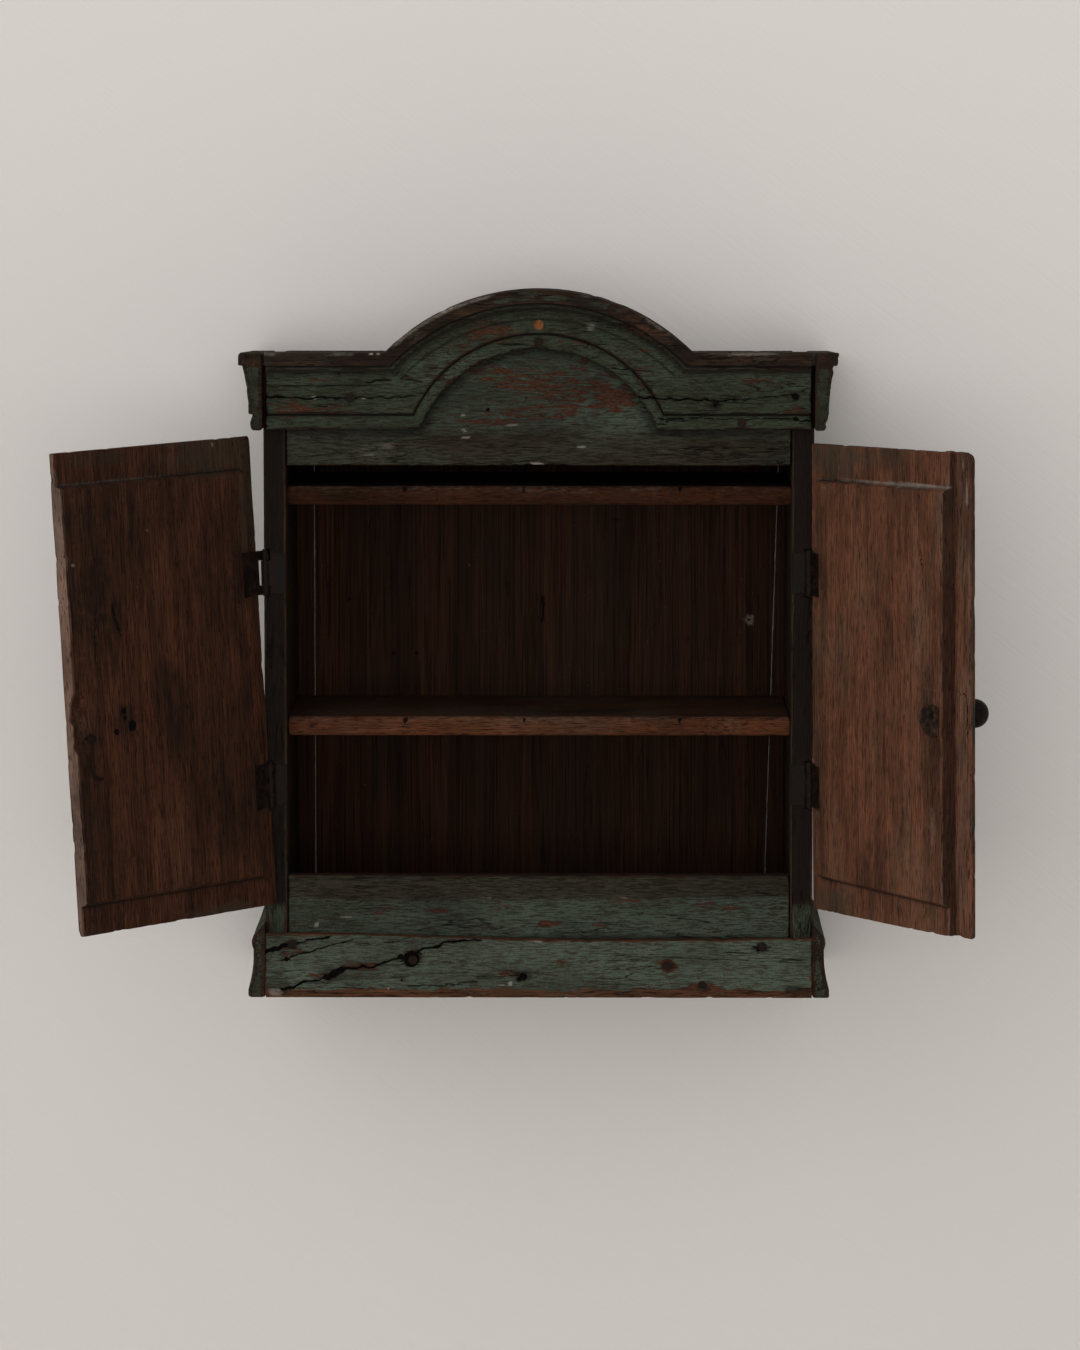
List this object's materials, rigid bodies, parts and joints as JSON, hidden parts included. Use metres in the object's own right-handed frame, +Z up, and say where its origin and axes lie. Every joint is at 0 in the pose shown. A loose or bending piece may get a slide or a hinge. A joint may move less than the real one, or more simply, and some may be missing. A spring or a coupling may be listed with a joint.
{
  "type": "wall cupboard",
  "caption": "Shallow wall cupboard with an arched moulded cornice, lipped overlay doors on butt hinges, shelves, a turn latch, a hook and a hollow plinth, in worn painted wood.",
  "frame": {"origin": "on the wall plane, mid width, level with the foot of the plinth", "axes": "+X to the right seen from the front, +Y towards the wall, +Z up"},
  "size_m": [0.9028, 0.484, 0.706],
  "materials": {
    "painted_wood": "worn matt paint",
    "door_wood": "worn dark wood",
    "shelf_wood": "bare wood",
    "board_wood": "dark aged wood",
    "iron": "rusted"
  },
  "bodies": {
    "case": {"back_board_main": "board_wood", "back_nails": "iron", "back_strip_left": "board_wood", "back_strip_right": "board_wood", "bottom_board": "board_wood", "case_hinge_nails": "iron", "cornice_front": "painted_wood", "cornice_nails": "iron", "cornice_return_left": "painted_wood", "cornice_return_right": "painted_wood", "front_board": "painted_wood", "left_lower_hinge_case_leaf": "iron", "left_lower_hinge_pin": "iron", "left_side": "painted_wood", "left_upper_hinge_case_leaf": "iron", "left_upper_hinge_pin": "iron", "lower_rail": "painted_wood", "middle_shelf": "shelf_wood", "plinth_front": "painted_wood", "plinth_nails": "iron", "plinth_return_left": "painted_wood", "plinth_return_right": "painted_wood", "return_nails": "iron", "right_lower_hinge_case_leaf": "iron", "right_lower_hinge_pin": "iron", "right_side": "painted_wood", "right_upper_hinge_case_leaf": "iron", "right_upper_hinge_pin": "iron", "shelf_nails": "iron", "top_board": "board_wood", "upper_shelf": "shelf_wood", "wooden_peg": "shelf_wood"},
    "left_door": {"left_door_board": "door_wood", "left_door_hinge_nails": "iron", "hook_nail": "iron", "left_lower_hinge_door_leaf": "iron", "left_upper_hinge_door_leaf": "iron"},
    "right_door": {"right_door_board": "door_wood", "right_door_cover_strip": "door_wood", "cover_strip_nails": "iron", "right_door_hinge_nails": "iron", "right_lower_hinge_door_leaf": "iron", "right_upper_hinge_door_leaf": "iron"},
    "latch": {"latch_knob": "iron", "latch_spindle": "iron", "latch_tongue": "iron"},
    "hook": {"door_hook": "iron"}
  },
  "joints": [
    {"name": "left_door_hinge", "type": "hinge", "parent": "case", "child": "left_door", "pos_m": [-0.2694, -0.2277, 0.318], "axis": [0.0215, -0.0277, -0.9994], "range_deg": [-132, 0]},
    {"name": "right_door_hinge", "type": "hinge", "parent": "case", "child": "right_door", "pos_m": [0.2692, -0.2277, 0.318], "axis": [-0.0058, 0, 1], "range_deg": [-117.3, 0]},
    {"name": "latch_turn", "type": "hinge", "parent": "right_door", "child": "latch", "pos_m": [0.38077, -0.45966, 0.30812], "axis": [-0.8886, -0.4586, -0.0051], "range_deg": [0, 180]},
    {"name": "hook_swing", "type": "hinge", "parent": "left_door", "child": "hook", "pos_m": [-0.42935, -0.42258, 0.28081], "axis": [0.7417, -0.6678, 0.0622], "range_deg": [0, 95]}
  ]
}
